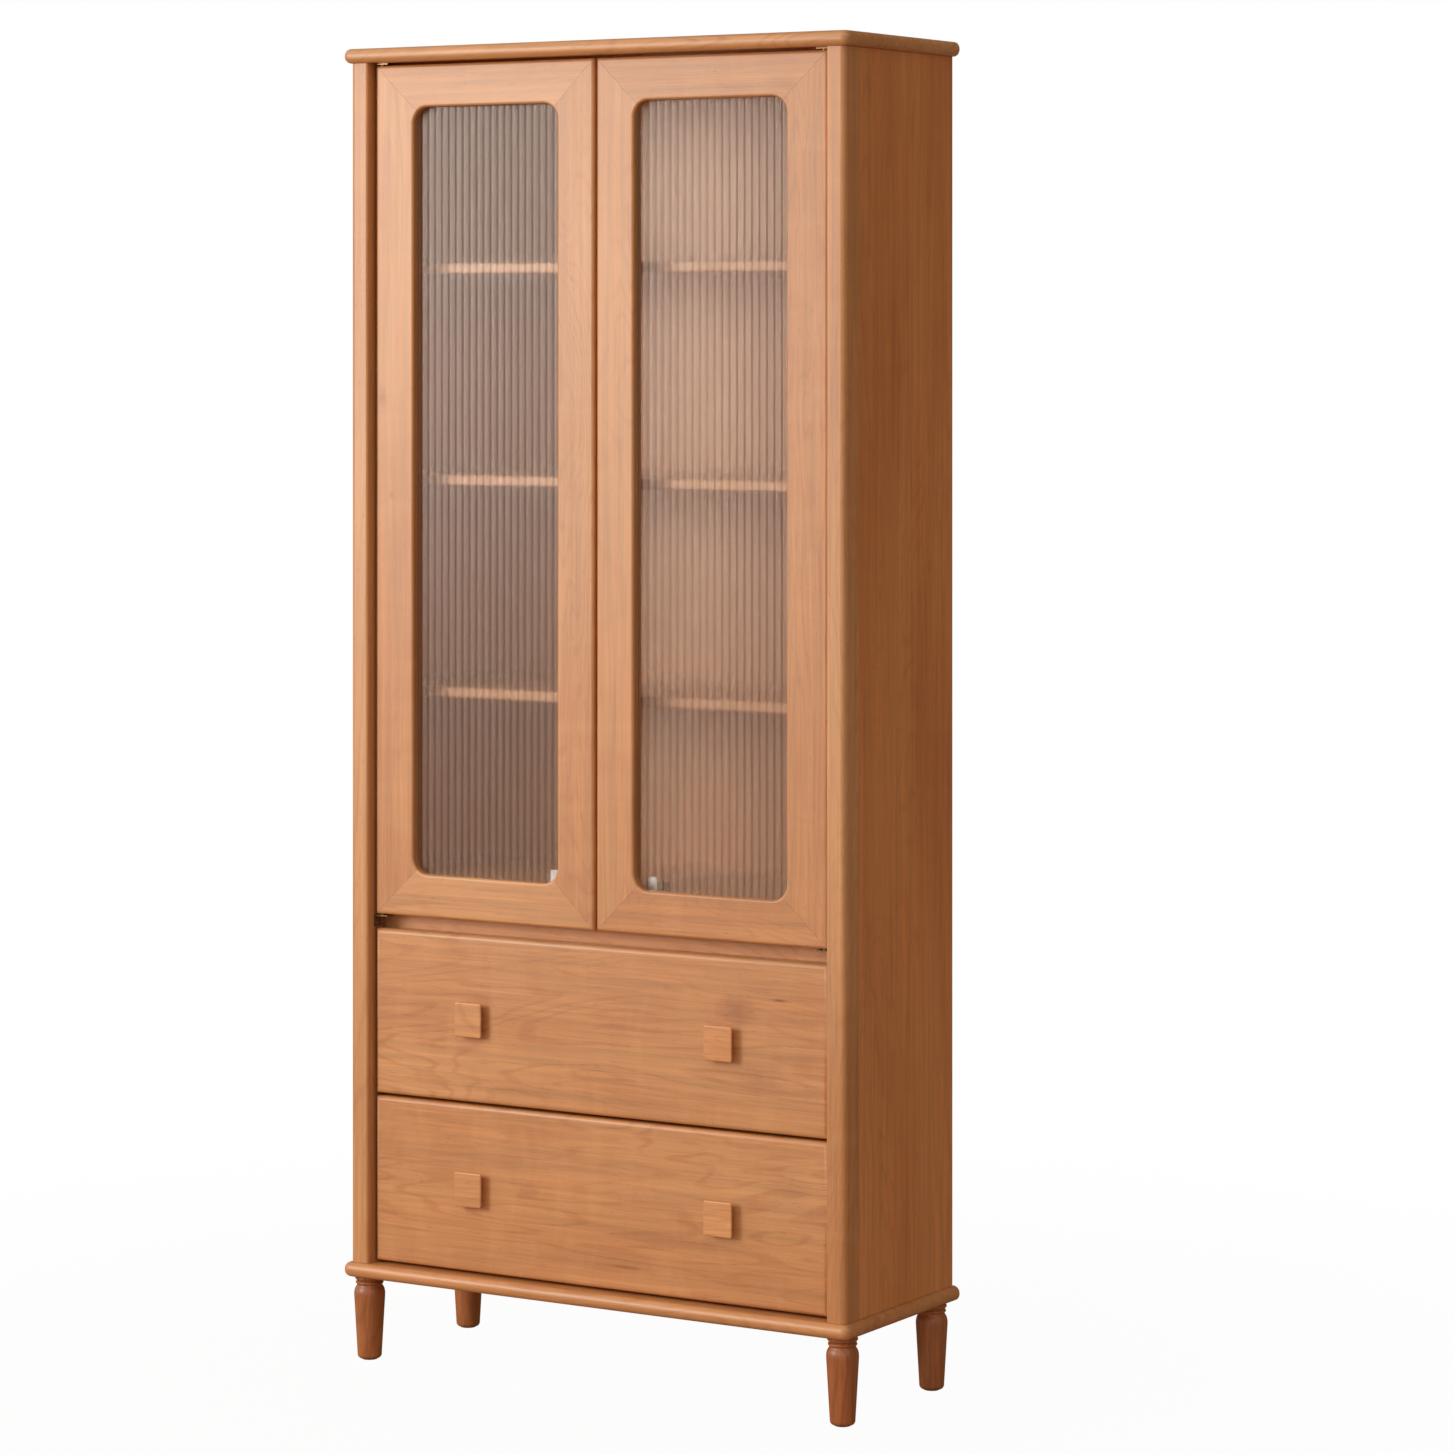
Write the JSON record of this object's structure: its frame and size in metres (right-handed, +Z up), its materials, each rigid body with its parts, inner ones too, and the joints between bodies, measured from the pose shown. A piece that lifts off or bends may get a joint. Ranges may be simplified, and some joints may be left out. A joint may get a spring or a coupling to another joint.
{
  "type": "china cabinet",
  "caption": "Tall slim china cabinet in warm reddish wood: reeded-glass doors above drawers with square knobs, shelves inside, on short turned legs.",
  "frame": {"origin": "On the floor, in the middle of the cabinet's outline seen from above, between the undersides of the four legs.", "axes": "+X to the right for someone facing the doors, +Y from the doors towards the back, +Z up."},
  "size_m": [0.89, 0.334, 2],
  "materials": {
    "cherry": "satin lacquered cherry-toned veneer and solid wood",
    "drawer_wood": "plain pale hardwood, lightly sealed",
    "plywood": "thin veneered plywood, matt",
    "reeded_glass": "clear glass with vertical reeds pressed into one face",
    "pivot_brass": "plain brass",
    "zinc_steel": "zinc-plated steel",
    "catch_plastic": "brown moulded plastic"
  },
  "bodies": {
    "carcass": {"top_panel": "cherry", "base_panel": "cherry", "left_side_panel": "cherry", "right_side_panel": "cherry", "front_left_post": "cherry", "front_right_post": "cherry", "back_panel": "plywood", "middle_panel": "cherry", "front_rail": "cherry", "upper_shelf": "cherry", "middle_shelf": "cherry", "lower_shelf": "cherry", "front_left_leg": "cherry", "front_right_leg": "cherry", "rear_left_leg": "cherry", "rear_right_leg": "cherry", "left_upper_pivot": "pivot_brass", "left_lower_pivot": "pivot_brass", "right_upper_pivot": "pivot_brass", "right_lower_pivot": "pivot_brass", "lower_drawer_left_runner": "drawer_wood", "lower_drawer_right_runner": "drawer_wood", "upper_drawer_left_runner": "drawer_wood", "upper_drawer_right_runner": "drawer_wood", "left_magnetic_catch": "catch_plastic", "right_magnetic_catch": "catch_plastic"},
    "left_door": {"left_door_top_rail": "cherry", "left_door_bottom_rail": "cherry", "left_door_hinge_stile": "cherry", "left_door_meeting_stile": "cherry", "left_door_glass": "reeded_glass", "left_door_left_glazing_bead": "cherry", "left_door_right_glazing_bead": "cherry", "left_door_upper_bush": "pivot_brass", "left_door_lower_bush": "pivot_brass", "left_door_strike_plate": "zinc_steel"},
    "right_door": {"right_door_top_rail": "cherry", "right_door_bottom_rail": "cherry", "right_door_hinge_stile": "cherry", "right_door_meeting_stile": "cherry", "right_door_glass": "reeded_glass", "right_door_left_glazing_bead": "cherry", "right_door_right_glazing_bead": "cherry", "right_door_upper_bush": "pivot_brass", "right_door_lower_bush": "pivot_brass", "right_door_strike_plate": "zinc_steel"},
    "lower_drawer": {"lower_drawer_front": "cherry", "lower_drawer_left_side": "drawer_wood", "lower_drawer_right_side": "drawer_wood", "lower_drawer_back": "drawer_wood", "lower_drawer_bottom": "plywood", "lower_drawer_left_knob": "cherry", "lower_drawer_right_knob": "cherry"},
    "upper_drawer": {"upper_drawer_front": "cherry", "upper_drawer_left_side": "drawer_wood", "upper_drawer_right_side": "drawer_wood", "upper_drawer_back": "drawer_wood", "upper_drawer_bottom": "plywood", "upper_drawer_left_knob": "cherry", "upper_drawer_right_knob": "cherry"}
  },
  "joints": [
    {"name": "left_door_hinge", "type": "hinge", "parent": "carcass", "child": "left_door", "pos_m": [-0.3895, -0.136, 1.328], "axis": [0, 0, -1], "range_deg": [0, 100]},
    {"name": "right_door_hinge", "type": "hinge", "parent": "carcass", "child": "right_door", "pos_m": [0.3895, -0.136, 1.328], "axis": [0, 0, 1], "range_deg": [0, 100]},
    {"name": "upper_drawer_slide", "type": "slide", "parent": "carcass", "child": "upper_drawer", "axis": [0, -1, 0], "range_m": [0, 0.18]},
    {"name": "lower_drawer_slide", "type": "slide", "parent": "carcass", "child": "lower_drawer", "axis": [0, -1, 0], "range_m": [0, 0.18]}
  ]
}
